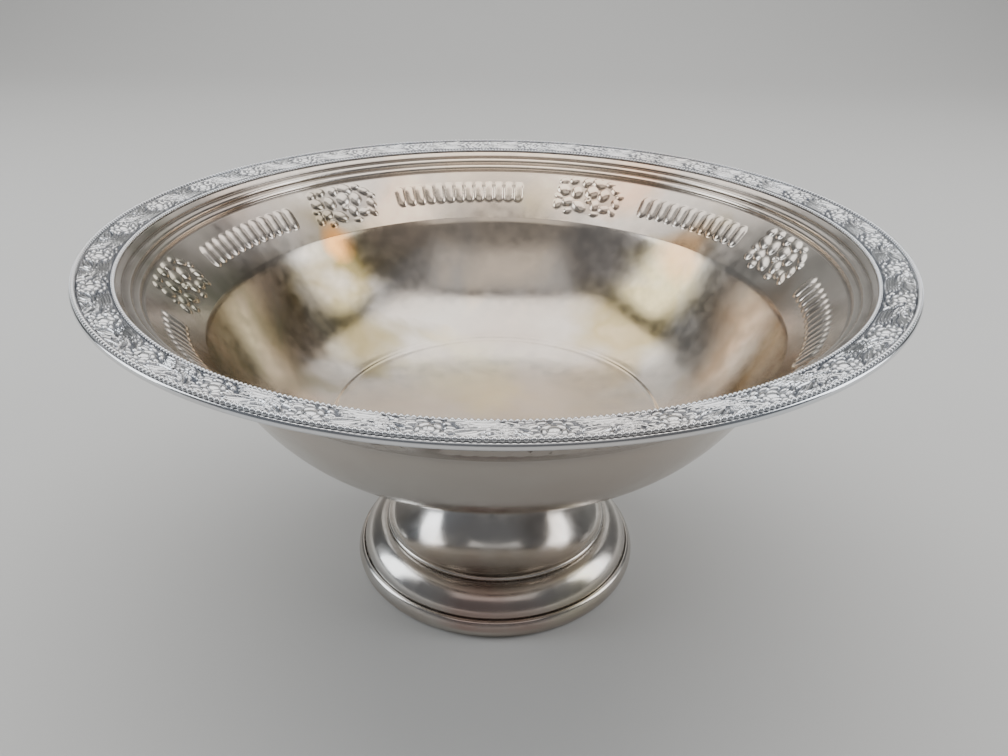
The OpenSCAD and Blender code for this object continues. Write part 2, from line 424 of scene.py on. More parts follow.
@dataclass(frozen=True)
class BandRelief:
    """Relief of the band: groups of long oval flutes between flower clusters, with painted shade in the
    gaps between their raised shapes.
    """

    low_r: float
    width: float
    drop: float
    rise: float = 0.8
    hollow_share: float = 0.4
    flute_pitch: float = 2.4
    flute_w: float = 4.3
    flute_len: float = 9.9
    flute_gap_shade: float = 0.75
    side_fade: float = 1.2
    end_fade: float = 1.6
    groups: tuple[FluteGroup, ...] = (
        FluteGroup(41, 12, 0.56),
        FluteGroup(100.2, 13, 0.56),
        FluteGroup(157, 12, 0.56),
        FluteGroup(217, 15, 0.53),
        FluteGroup(281, 15, 0.53),
        FluteGroup(343.5, 14, 0.52),
    )
    flower: Flower = Flower()
    flower_angles: tuple[float, ...] = (13.7, 68.2, 129, 184.6, 249, 313.5)
    flower_up_share: float = 0.56
    flower_gain: float = 1.15
    flower_reach: float = 17.0
    flower_half_w: float = 15.8
    flower_half_h: float = 8.9
    flower_edge: float = 4.0
    flower_gap_shade: float = 0.4

    @property
    def length(self) -> float:
        """Width of the band along its slope."""
        return math.hypot(self.width, self.drop)

    def height(self, angle: np.ndarray, up: float) -> tuple[np.ndarray, np.ndarray]:
        """Relief around the band at one level.

        Args:
            angle: directions in degrees.
            up: share of the way up the band.

        Returns:
            Heights above the plain band in millimetres, and recess values from 0 to 1.
        """
        raised = [self.flutes(group, angle, up) for group in self.groups]
        raised += [self.cluster(centre, angle, up) for centre in self.flower_angles]
        heights, recesses = zip(*raised)
        return np.max(heights, axis=0), np.max(recesses, axis=0)

    def flutes(self, group: FluteGroup, angle: np.ndarray, up: float) -> tuple[np.ndarray, np.ndarray]:
        """Heights and recess values of one group of flutes.

        Args:
            group: the group.
            angle: directions in degrees.
            up: share of the way up the band.

        Returns:
            Heights in millimetres, and recess values.
        """
        half_len = self.flute_len / 2
        y = abs(up - group.up_share) * self.length
        side = across(angle, group.angle)
        place = side / self.flute_pitch + (group.count - 1) / 2
        nearest = np.clip(np.round(place), 0, group.count - 1)
        x = np.radians((place - nearest) * self.flute_pitch) * (self.low_r + self.width * up)
        q = (np.abs(x) / (self.flute_w / 2)) ** 2 + (y / half_len) ** 4
        flute = self.rise * np.clip(1 - q, 0, None) ** 0.5
        within = np.clip((group.count / 2 * self.flute_pitch - np.abs(side)) / self.side_fade, 0, 1)
        within = within * np.clip((half_len - y) / self.end_fade, 0, 1)
        gap = np.clip(1 - flute / (self.hollow_share * self.rise), 0, 1)
        # painted shade in the gaps between the flutes
        return flute, within * gap * self.flute_gap_shade

    def cluster(self, centre: float, angle: np.ndarray, up: float) -> tuple[np.ndarray, np.ndarray]:
        """Heights and recess values of one flower cluster.

        Args:
            centre: direction of its middle in degrees.
            angle: directions in degrees.
            up: share of the way up the band.

        Returns:
            Heights in millimetres, and recess values.
        """
        y = (up - self.flower_up_share) * self.length
        x = -np.radians(across(angle, centre)) * (self.low_r + self.width * up)
        shape = np.where(np.abs(x) < self.flower_reach, self.flower.height(x, y), 0)
        oval = (x / self.flower_half_w) ** 2 + (y / self.flower_half_h) ** 2
        within = np.clip((1 - oval) * self.flower_edge, 0, 1)
        gap = np.clip(1 - shape / self.hollow_share, 0, 1)
        # painted shade in the gaps between the petals and leaves
        return self.rise * self.flower_gain * shape, within * gap * self.flower_gap_shade


@dataclass(frozen=True)
class BorderRelief:
    """Relief of one rose and its leaves on the border, in millimetres from the border's inner edge."""

    pitch: float
    rise: float = 1.0
    crease_softness: float = 0.25
    crease_depth: float = 0.65
    ground_share: float = 0.2
    ground_dark: float = 1.2
    bright_share: float = 0.5
    chase_rate: float = 8.0
    chase_sway: float = 2.2
    sway_rate: float = 0.9
    chase_lean: float = 1.3
    bumps: tuple[Bump, ...] = (
        Bump(0.1, 5.0, 2.0, 1.75, 1.0),
        Bump(-1.2, 3.3, 1.9, 1.0, 0.8, -32),
        Bump(-2.2, 5.3, 0.9, 1.6, 0.8, -6),
        Bump(-0.6, 6.9, 1.8, 0.9, 0.78, 14),
        Bump(2.2, 6.0, 0.95, 1.5, 0.8, 24),
        Bump(1.7, 3.5, 1.6, 0.95, 0.8, 34),
        Bump(-3.7, 7.2, 1.5, 0.85, 0.8, -25),
        Bump(-1.6, 8.1, 1.5, 0.7, 0.75, -8),
        Bump(1.0, 8.2, 1.3, 0.75, 0.75, 12),
        Bump(3.3, 7.5, 1.5, 0.85, 0.85, -35),
        Bump(4.6, 5.9, 1.5, 0.7, 0.85, -8),
        Bump(4.7, 4.5, 1.6, 0.65, 0.85, 6),
        Bump(-4.3, 5.1, 1.3, 0.7, 0.75, 5),
        Bump(-4.1, 3.2, 1.9, 0.85, 0.9, -18),
        Bump(-2.2, 1.5, 1.7, 0.7, 0.75, -8),
        Bump(1.3, 1.3, 1.6, 0.7, 0.8, 10),
        Bump(3.7, 2.3, 1.4, 0.75, 0.8, 28),
        Bump(16.7, 6.3, 1.35, 0.55, 0.9, 4),
        Bump(9.7, 7.4, 0.6, 0.6, 0.6),
        Bump(19.8, 8.4, 1.0, 0.55, 0.75, 12),
        Bump(20.2, 1.1, 1.2, 0.5, 0.7, -8),
    )
    strokes: tuple[Stroke, ...] = (
        Stroke(((6.3, 8.5), (8.4, 8.3), (10.6, 7.0), (12.3, 5.9)), 0.85, 0.95, 0.3),
        Stroke(((5.9, 7.4), (7.4, 7.2), (8.9, 6.4), (10.7, 5.7)), 0.6, 0.75, 0.3),
        Stroke(((5.6, 6.4), (6.4, 5.0), (9.4, 4.6), (13.4, 5.1)), 0.42, 0.8, 0.5),
        Stroke(((8.6, 8.9), (10.4, 8.6), (11.8, 7.8), (12.8, 6.8)), 0.45, 0.75, 0.3),
        Stroke(((10.7, 9.0), (12.3, 8.2), (12.0, 6.4), (14.5, 5.6)), 0.45, 0.85, 0.5),
        Stroke(((12.6, 9.0), (13.5, 8.3), (14.4, 7.5), (18.4, 7.3)), 0.5, 0.85, 0.4),
        Stroke(((14.6, 8.9), (16.0, 8.3), (17.2, 8.2), (18.8, 8.7)), 0.5, 0.7, 0.3),
        Stroke(((14.2, 6.6), (15.0, 7.4), (17.6, 7.4), (18.6, 6.4)), 0.32, 0.75, 0.6),
        Stroke(((14.2, 6.2), (15.2, 5.2), (17.6, 5.2), (18.6, 6.2)), 0.32, 0.75, 0.6),
        Stroke(((12.0, 4.5), (15.0, 4.4), (18.6, 5.2), (20.6, 8.9)), 0.45, 0.9, 0.4),
        Stroke(((18.6, 5.2), (20.2, 5.8), (21.4, 7.2), (22.6, 9.0)), 0.5, 0.8, 0.3),
        Stroke(((10.6, 4.2), (13.5, 3.6), (17.0, 4.2), (20.4, 5.8)), 0.4, 0.75, 0.4),
        Stroke(((7.6, 4.2), (10.4, 3.4), (14.0, 3.2), (19.6, 4.9)), 0.42, 0.85, 0.4),
        Stroke(((6.6, 3.5), (9.6, 2.7), (13.8, 2.5), (18.0, 3.5)), 0.4, 0.7, 0.4),
        Stroke(((5.8, 2.7), (8.8, 2.1), (13.2, 1.7), (17.6, 2.7)), 0.45, 0.85, 0.4),
        Stroke(((5.4, 1.7), (8.6, 1.5), (12.0, 1.0), (17.0, 1.8)), 0.42, 0.7, 0.4),
        Stroke(((3.6, 0.8), (7.2, 0.9), (11.0, 0.4), (15.4, 0.9)), 0.42, 0.75, 0.4),
        Stroke(((16.4, 1.0), (18.0, 1.3), (19.3, 2.2), (20.6, 3.2)), 0.42, 0.75, 0.4),
        Stroke(((18.0, 3.4), (19.6, 3.2), (21.0, 4.0), (22.3, 4.3)), 0.4, 0.7, 0.4),
        Stroke(((18.4, 2.4), (19.6, 2.5), (21.0, 3.0), (22.4, 2.7)), 0.35, 0.65, 0.4),
        Stroke(((-7.0, 7.6), (-6.2, 8.2), (-5.4, 8.4), (-4.6, 8.6)), 0.4, 0.7, 0.4),
        Stroke(((-7.2, 6.1), (-6.3, 6.4), (-5.4, 6.4), (-4.6, 6.2)), 0.35, 0.7, 0.4),
        Stroke(((-6.4, 2.4), (-5.0, 2.1), (-4.4, 1.9), (-3.6, 1.7)), 0.35, 0.6, 0.4),
        Stroke(((-6.0, 0.9), (-5.0, 0.7), (-4.4, 0.6), (-3.6, 0.6)), 0.35, 0.6, 0.4),
        Stroke(((3.0, 8.9), (4.2, 8.8), (5.2, 8.6), (6.0, 8.0)), 0.35, 0.65, 0.4),
    )

    def chasing(self, x: np.ndarray, y: np.ndarray) -> np.ndarray:
        """Fine wavy lines chased into the ground between the leaves, from 0 to 1."""
        sway = self.chase_sway * np.sin(self.sway_rate * x)
        return 0.5 + 0.5 * np.sin(self.chase_rate * y + sway + self.chase_lean * x)

    def height(self, x: np.ndarray, y: np.ndarray) -> tuple[np.ndarray, np.ndarray]:
        """Relief over one repeat, with its rose at x = 0 and the neighbours' leaves reaching in.

        Args:
            x: places along the border from a rose, from 0 to the pitch.
            y: places across it from its inner edge.

        Returns:
            Heights above the plate in millimetres, and recess values.
        """
        shapes = [
            np.max([shape.height(x + shift, y) for shift in (-self.pitch, 0.0, self.pitch)], axis=0)
            for shape in self.bumps + self.strokes
        ]
        raised = creased(shapes, self.crease_softness, self.crease_depth)
        filled = np.maximum(raised, self.ground_share * self.chasing(x, y))
        recess = np.clip(self.ground_dark - filled / self.bright_share, 0, 1)
        return self.rise * np.clip(filled, 0, 1), recess


@dataclass(frozen=True)
class RimSizes:
    """Driving sizes that the bowl's flange shares with the work on it, in millimetres."""

    radius: float
    height: float
    edge_wire_w: float = 1.8
    outer_bead_d: float = 1.5
    bead_sink_share: float = 0.37
    border_w: float = 9.2
    border_plate: float = 0.65
    border_edge_drop: float = 0.3
    bead_seat_w: float = 1.4
    flange_tilt: float = 0.12

    @property
    def edge_z(self) -> float:
        """Top of the edge wire, under the outer beads."""
        return self.height - self.outer_bead_d * (1 - self.bead_sink_share / 2)

    @property
    def border_out_r(self) -> float:
        """Outer radius of the border strip."""
        return self.radius - self.edge_wire_w

    @property
    def border_in_r(self) -> float:
        """Inner radius of the border strip."""
        return self.border_out_r - self.border_w

    @property
    def bead_seat_r(self) -> float:
        """Radius where the flat flange turns down into the moulded slope."""
        return self.border_in_r - self.bead_seat_w

    def flange_z(self, r: float | np.ndarray) -> float | np.ndarray:
        """Height of the flange's top at a radius or at several."""
        outer_z = self.edge_z - self.border_edge_drop - self.border_plate
        return outer_z - (self.border_out_r - r) * self.flange_tilt


@dataclass
class SubAssembly:
    """A group of pieces that are made together, each one dressed and kept in the order of making."""

    finishes: dict[Slot, bpy.types.Material]
    made: list[bpy.types.Object] = field(default_factory=list, init=False)

    def build(self) -> None:
        """Makes the pieces, in the order in which they stand on each other."""
        raise NotImplementedError

    def add(self, piece: bpy.types.Object, node: str, slot: Slot) -> None:
        """Dresses a piece, puts it in the place of its solid and keeps it.

        Args:
            piece: the object.
            node: name of the solid that it stands for.
            slot: the record's material slot.
        """
        piece.data.materials.append(self.finishes[slot])
        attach(piece, BODY)
        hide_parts(node)
        self.made.append(piece)

    def turn(
        self, name: str, node: str, slot: Slot, line: Rows, dark: np.ndarray | None = None,
        columns: int = PLAIN_COLUMNS,
    ) -> None:
        """Turns a closed profile into a piece and adds it.

        Args:
            name: object name.
            node: name of the solid that it stands for.
            slot: the record's material slot.
            line: profile points, radius and height.
            dark: how deep in a hollow each point lies, from 0 to 1.
            columns: points on each ring.
        """
        lathe = Lathe(name)
        lathe.turned(line, columns, dark)
        self.add(lathe.build(), node, slot)


@dataclass(frozen=True)
class SlopeLine:
    """A line around the slope, in shares of the slope's length: its middle, half width and amount."""

    middle: float
    half: float
    amount: float

    def near(self, share: np.ndarray) -> np.ndarray:
        """How near places on the slope are to the line, from 0 at its edges to 1 in its middle."""
        return np.clip(1 - np.abs(share - self.middle) / self.half, 0, 1)


@dataclass
class BowlShell(SubAssembly):
    """The bowl's sheet: flange, moulded slope, embossed band and well. Sizes are in millimetres.

    The shadows darken the slope's hollows, and the fold is the faint step pressed around the well's floor.
    """

    rim: RimSizes
    sheet: float = 1.2
    slope_w: float = 7.2
    slope_drop: float = 7.6
    band_w: float = 15.6
    band_drop: float = 16.8
    well_drop: float = 49.8
    well_pull_shares: tuple[Pair, Pair] = ((0.831, 0.795), (0.646, 1.0))
    hub_r: float = 0.6
    fold_r: float = 61.2
    fold_depth: float = 0.28
    fold_edge: float = 0.5
    fold_reach: float = 2.2
    flange_turn: Pair = (0.4, 0.05)
    under_turn: Pair = (0.57, -1.14)
    moulding_power: float = 0.8
    mouldings: tuple[SlopeLine, ...] = (SlopeLine(0.43, 0.13, 0.75), SlopeLine(0.74, 0.13, 0.75))
    grooves: tuple[SlopeLine, ...] = (
        SlopeLine(0.24, 0.06, 0.5),
        SlopeLine(0.585, 0.02, 0.25),
        SlopeLine(0.93, 0.05, 0.45),
    )
    shadows: tuple[SlopeLine, ...] = (
        SlopeLine(0.23, 0.12, 0.65),
        SlopeLine(0.585, 0.06, 0.5),
        SlopeLine(0.935, 0.10, 0.6),
    )
    slope_points: int = 62
    band_levels: Levels = (0.985, 0.015, 58)
    band_columns: int = 1800
    under_levels: Levels = (0.02, 0.98, 26)
    under_columns: int = 720
    hub_columns: int = 36
    well_points: int = 64
    solid_points: int = 15
    plain_step: float = 2.0
    well_step: float = 2.6
    fold_step: float = 0.35
    fold_span: float = 4.0

    @property
    def slope_top(self) -> np.ndarray:
        """Corner where the flange turns down."""
        return np.array([self.rim.bead_seat_r, self.rim.flange_z(self.rim.bead_seat_r)])

    @property
    def band_top(self) -> np.ndarray:
        """Upper edge of the band."""
        return self.slope_top - [self.slope_w, self.slope_drop]

    @property
    def ledge(self) -> np.ndarray:
        """Lower edge of the band, the sharp ledge over the well."""
        return self.band_top - [self.band_w, self.band_drop]

    def well(self, count: int) -> np.ndarray:
        """Profile of the well's underside.

        Args:
            count: number of points.

        Returns:
            The points, from the ledge to the axis.
        """
        r, z = self.ledge - self.sheet * upper_side(self.band_top, self.ledge)
        pulls = [(r * out, z - self.well_drop * down) for out, down in self.well_pull_shares]
        return bezier([(r, z), *pulls, (0.0, z - self.well_drop)], np.linspace(0, 1, count))

    def under_z(self, radius: float) -> float:
        """Height of the bowl's underside near its middle, on the solid's coarser curve."""
        curve = self.well(self.solid_points)[::-1]
        return float(np.interp(radius, curve[:, 0], curve[:, 1]))

    def build(self) -> None:
        """Makes the sheet in one piece, down the inside from the flange and up again on the outside."""
        lathe = Lathe("bowl")
        edge = np.array([self.rim.border_out_r, self.rim.flange_z(self.rim.border_out_r)])
        lathe.turned(np.array([edge, self.slope_top + self.flange_turn]))
        self.turn_slope(lathe)
        self.press_band(lathe, self.band_levels, self.band_columns, 0.0)
        self.turn_well(lathe)
        self.press_band(lathe, self.under_levels, self.under_columns, self.sheet)
        band_under = self.band_top - self.sheet * upper_side(self.band_top, self.ledge)
        under = np.array([band_under, self.slope_top + self.under_turn, edge - [0.0, self.sheet]])
        lathe.turned(resample(under, self.plain_step))
        self.add(lathe.build(), "bowl_shell", Slot.BOWL)

    def turn_slope(self, lathe: Lathe) -> None:
        """Adds the moulded slope: strip, groove, two round mouldings and a groove.

        Args:
            lathe: the lathe that takes its rings.
        """
        share = np.linspace(0, 1, self.slope_points)
        bulge = np.zeros_like(share)
        for moulding in self.mouldings:
            bulge += moulding.amount * np.sin(math.pi / 2 * moulding.near(share)) ** self.moulding_power
        for groove in self.grooves:
            t = groove.near(share)
            bulge -= groove.amount * t * t * (3 - 2 * t)
        line = self.slope_top + share[:, None] * (self.band_top - self.slope_top)
        line = line + bulge[:, None] * upper_side(self.slope_top, self.band_top)
        dark = np.max([shadow.amount * shadow.near(share) for shadow in self.shadows], axis=0)
        lathe.turned(line, recess=dark)

    def press_band(self, lathe: Lathe, levels: Levels, columns: int, sunk: float) -> None:
        """Adds the band's rings on one side of the sheet, with its relief.

        Args:
            lathe: the lathe that takes the rings.
            levels: shares of the way up the band of the first and last ring, and the number of rings.
            columns: points on each ring.
            sunk: how far they lie under the upper side. Only the upper side is dark in its hollows.
        """
        relief = BandRelief(float(self.ledge[0]), self.band_w, self.band_drop)
        out = upper_side(self.band_top, self.ledge)
        angle = np.arange(columns) * FULL_TURN / columns
        for up in np.linspace(*levels):
            base = self.ledge + (self.band_top - self.ledge) * up - out * sunk
            height, recess = relief.height(angle, up)
            points = around(np.radians(angle), base[0] + out[0] * height, base[1] + out[1] * height)
            lathe.ring(points, np.zeros(columns) if sunk else recess)

    def turn_well(self, lathe: Lathe) -> None:
        """Adds both sides of the well, with a small flat hub in the middle of each.

        Args:
            lathe: the lathe that takes its rings.
        """
        under = self.well(self.well_points)
        top = under + self.sheet * normals(under)
        top[0] = self.ledge
        floor_z = under[-1, 1]
        lathe.turned(self.folded(top[:-1]))
        lathe.turned([(self.hub_r, floor_z + self.sheet)], self.hub_columns)
        lathe.cap()
        lathe.turned([(self.hub_r, floor_z)], self.hub_columns)
        lathe.turned(under[1:-1][::-1])

    def folded(self, line: np.ndarray) -> np.ndarray:
        """The well's inner profile with the faint fold around its floor.

        Args:
            line: profile points from the ledge to the axis.

        Returns:
            A finer profile with the fold pressed into it.
        """
        plain = resample(line, self.well_step)
        near = plain[np.abs(plain[:, 0] - self.fold_r) < self.fold_span]
        before = plain[plain[:, 0] > near[0, 0]]
        after = plain[plain[:, 0] < near[-1, 0]]
        whole = np.concatenate([before, resample(near, self.fold_step), after])
        away = self.fold_r - whole[:, 0]
        step = self.fold_depth * np.tanh(away / self.fold_edge) * np.exp(-((away / self.fold_reach) ** 2))
        return whole - np.stack([np.zeros(len(whole)), step], 1)


@dataclass
class Foot(SubAssembly):
    """The foot under the bowl: dome, base ring, stem and solder ring. Sizes are in millimetres."""

    bowl: BowlShell
    sheet: float = 1.2
    neck_r: float = 23.0
    neck_pull_share: float = 0.49
    collar_h: float = 2.4
    collar_flare: float = 2.5
    collar_gap: float = 0.05
    collar_columns: int = 256
    stem_edge_r: float = 43.6
    stem_edge_w: float = 2.2
    stem_edge_h: float = 1.7
    stem_edge_gap: float = 0.05
    stem_edge_from: float = 112.0
    stem_edge_to: float = -15.0
    stem_foot_shares: Pair = (0.34, 0.1)
    crease_lift: float = 0.45
    crease_shade: float = 0.3
    inside_left_out: int = 6
    dome_top_h: float = 16.4
    dome_foot_r: float = 53.0
    dome_pull_share: float = 0.45
    dome_top_shade: float = 0.2
    seat_w: float = 2.5
    base_h: float = 7.2
    base_r: float = 55.6
    rest_inset: float = 1.3
    side_skew: float = 0.85
    dome_gap: float = 0.3
    gap_drop: float = 0.15
    side_top: float = 0.55
    lip_insets: tuple[Pair, ...] = ((1.35, 0.4), (1.7, 0.05), (2.3, 0.0))
    stem_points: int = 44
    dome_points: int = 34
    side_points: int = 26
    round_points: int = 12

    @property
    def seat_r(self) -> float:
        """Inner radius of the dome's edge and of the base ring."""
        return self.dome_foot_r - self.seat_w

    @property
    def seat_z(self) -> float:
        """Underside of the dome's edge, in the base ring's step."""
        return self.base_h - self.sheet

    @property
    def neck_top_z(self) -> float:
        """Top of the solder ring, just under the bowl."""
        return self.bowl.under_z(self.neck_r - self.sheet) - self.collar_gap

    @property
    def neck_z(self) -> float:
        """Top of the stem, under the solder ring."""
        return self.neck_top_z - self.collar_h

    def build(self) -> None:
        """Makes the dome, the base ring, the solder ring and the stem."""
        self.dome()
        self.base_ring()
        self.solder_ring()
        self.stem()

    def dome(self) -> None:
        """Makes the dome, a thin round shoulder that is open under the stem."""
        top_r = self.stem_edge_r + self.stem_edge_w / 2
        pulled_r = top_r + (self.dome_foot_r - top_r) * self.dome_pull_share
        pulled_z = self.base_h + (self.dome_top_h - self.base_h) * self.dome_pull_share
        ends = (top_r, self.dome_top_h), (self.dome_foot_r, self.base_h)
        pulls = (pulled_r, self.dome_top_h), (self.dome_foot_r, pulled_z)
        curve = bezier([ends[0], *pulls, ends[1]], np.linspace(0, 1, self.dome_points))
        open_r = self.stem_edge_r - 2 * self.stem_edge_w
        line = np.concatenate([
            [(open_r, self.dome_top_h - self.sheet), (open_r, self.dome_top_h)],
            curve,
            [(self.dome_foot_r, self.seat_z), (self.seat_r, self.seat_z), (self.seat_r, self.base_h)],
            (curve + self.sheet * normals(curve))[::-1],
        ])
        # painted shade on the dome's top under the stem's edge, and at its foot where it sits in the base
        # ring
        dark = np.zeros(len(line))
        dark[1:3] = self.dome_top_shade
        dark[len(curve) + 1:len(curve) + 3] = self.crease_shade
        self.turn("dome", "foot_dome", Slot.FOOT, line[::-1], dark[::-1])

    def base_ring(self) -> None:
        """Makes the bulging ring that the foot stands on, with its flat rest face."""
        rest_r = self.base_r - self.rest_inset
        lip_r = self.dome_foot_r + self.dome_gap
        t = np.linspace(0, 1, self.side_points)
        side_r = rest_r + (self.base_r - rest_r) * np.sin(math.pi * t**self.side_skew)
        side = np.stack([side_r, self.base_h * t], 1)
        side = side[side[:, 1] < self.base_h - self.side_top]
        lip = [(self.base_r - inset, self.base_h - drop) for inset, drop in self.lip_insets]
        step = [(lip_r, self.base_h - self.gap_drop), (lip_r, self.seat_z), (self.seat_r, self.seat_z)]
        line = np.array([(self.seat_r, 0.0), *side, *lip, *step])
        dark = np.zeros(len(line))
        # painted shade in the gap between the ring's lip and the dome
        dark[-3:-1] = self.crease_shade
        self.turn("base_ring", "foot_base_ring", Slot.FOOT, line, dark)

    def solder_ring(self) -> None:
        """Makes the flared ring of solder between the stem's neck and the bowl."""
        inner_r = self.neck_r - self.sheet
        centre = (self.neck_r + self.collar_flare, self.neck_z)
        collar = arc(centre, (self.collar_flare, self.collar_h), 180, 90, self.round_points)
        line = np.array([*collar, (inner_r, self.neck_top_z), (inner_r, self.neck_z)])
        self.turn("solder_ring", "stem_solder_ring", Slot.SOLDER, line, columns=self.collar_columns)

    def stem(self) -> None:
        """Makes the hollow trumpet stem with its rolled edge, where the sheet's inside face stops short."""
        foot_r = self.stem_edge_r - self.stem_edge_w
        foot_z = self.dome_top_h + self.stem_edge_h / 2
        drop = self.neck_z - foot_z
        pull_r, pull_z = self.stem_foot_shares
        control = [
            (self.neck_r, self.neck_z),
            (self.neck_r, self.neck_z - self.neck_pull_share * drop),
            (self.neck_r + (foot_r - self.neck_r) * pull_r, foot_z + drop * pull_z),
            (foot_r, foot_z + self.crease_lift),
        ]
        curve = bezier(control, np.linspace(0, 1, self.stem_points))
        bead_r = self.stem_edge_h / 2
        centre = (self.stem_edge_r - bead_r, foot_z)
        rolled = arc(
            centre, (bead_r, bead_r), self.stem_edge_from, self.stem_edge_to, self.round_points
        )
        seat_r = self.stem_edge_r - self.stem_edge_gap
        seat = [(seat_r, self.dome_top_h), (foot_r - self.sheet, self.dome_top_h)]
        inside = (curve + self.sheet * normals(curve))[:-self.inside_left_out]
        line = np.concatenate([curve, rolled, seat, inside[::-1]])
        dark = np.zeros(len(line))
        # painted shade where the rolled edge meets the dome
        dark[len(curve) + len(rolled)] = self.crease_shade
        self.turn("stem", "stem_trumpet", Slot.FOOT, line[::-1], dark[::-1])


@dataclass(frozen=True)
class BeadRow:
    """A row of beads on a thin wire: its radius, bead size, the flat it stands on and its number."""

    name: str
    ring_r: float
    bead_d: float
    flat_z: float
    count: int
    sink_share: float
    core_share: float = 0.62
    core_sink: float = 0.12
    core_sides: int = 8
    core_dark: float = 0.45
    sides: int = 12
    rows: int = 7
    low_angle: float = -52.0
    dark_below: float = 0.1
    dark_span: float = 0.5
    dark_most: float = 0.6

    @property
    def centre_z(self) -> float:
        """Height of the beads' middles."""
        return self.flat_z + self.bead_d / 2 * (1 - self.sink_share)

    def core(self) -> bpy.types.Object:
        """Makes the thin wire that the beads sit on.

        Returns:
            The wire.
        """
        core_r = self.bead_d / 2 * self.core_share
        centre = (self.ring_r, self.centre_z - self.core_sink)
        last = FULL_TURN - FULL_TURN / self.core_sides
        section = arc(centre, (core_r, core_r), last, 0, self.core_sides)
        lathe = Lathe(self.name)
        lathe.turned(section, WIRE_COLUMNS, np.full(self.core_sides, self.core_dark))
        return lathe.build()

    def beads(self) -> bpy.types.Object:
        """Makes the beads, each one a rounded top with a flat face below.

        Returns:
            All of them as one object.
        """
        half = self.bead_d / 2
        half_long = min(half, math.pi * self.ring_r / self.count)
        level = np.radians(np.linspace(self.low_angle, 90, self.rows))
        lat, lon = np.meshgrid(level, np.arange(self.sides) * 2 * math.pi / self.sides, indexing="ij")
        x = self.ring_r + (half * np.cos(lat) * np.cos(lon)).ravel()
        y = (half_long * np.cos(lat) * np.sin(lon)).ravel()
        z = self.centre_z + (half * np.sin(lat)).ravel()
        turn = (2 * math.pi * np.arange(self.count) / self.count)[:, None]
        cos, sin = np.cos(turn), np.sin(turn)
        points = np.stack([x * cos - y * sin, x * sin + y * cos, z + 0 * turn], -1).reshape(-1, 3)
        bead = [face for k in range(self.rows - 1) for face in self.row_faces(k)]
        bead.append(tuple(range(self.sides - 1, -1, -1)))
        faces = [tuple(v + k * len(x) for v in face) for k in range(self.count) for face in bead]
        dark = np.clip((self.dark_below - np.sin(lat)) / self.dark_span, 0, self.dark_most).ravel()
        return mesh_object(self.name + "_beads", points * MM, faces, np.tile(dark, self.count))

    def row_faces(self, row: int) -> list[Face]:
        """Faces between a row of one bead's points and the next row up."""
        return ring_faces(row * self.sides, self.sides, (row + 1) * self.sides, self.sides)

    def build(self) -> bpy.types.Object:
        """Makes the wire and its beads as one object."""
        return join([self.core(), self.beads()], self.name)


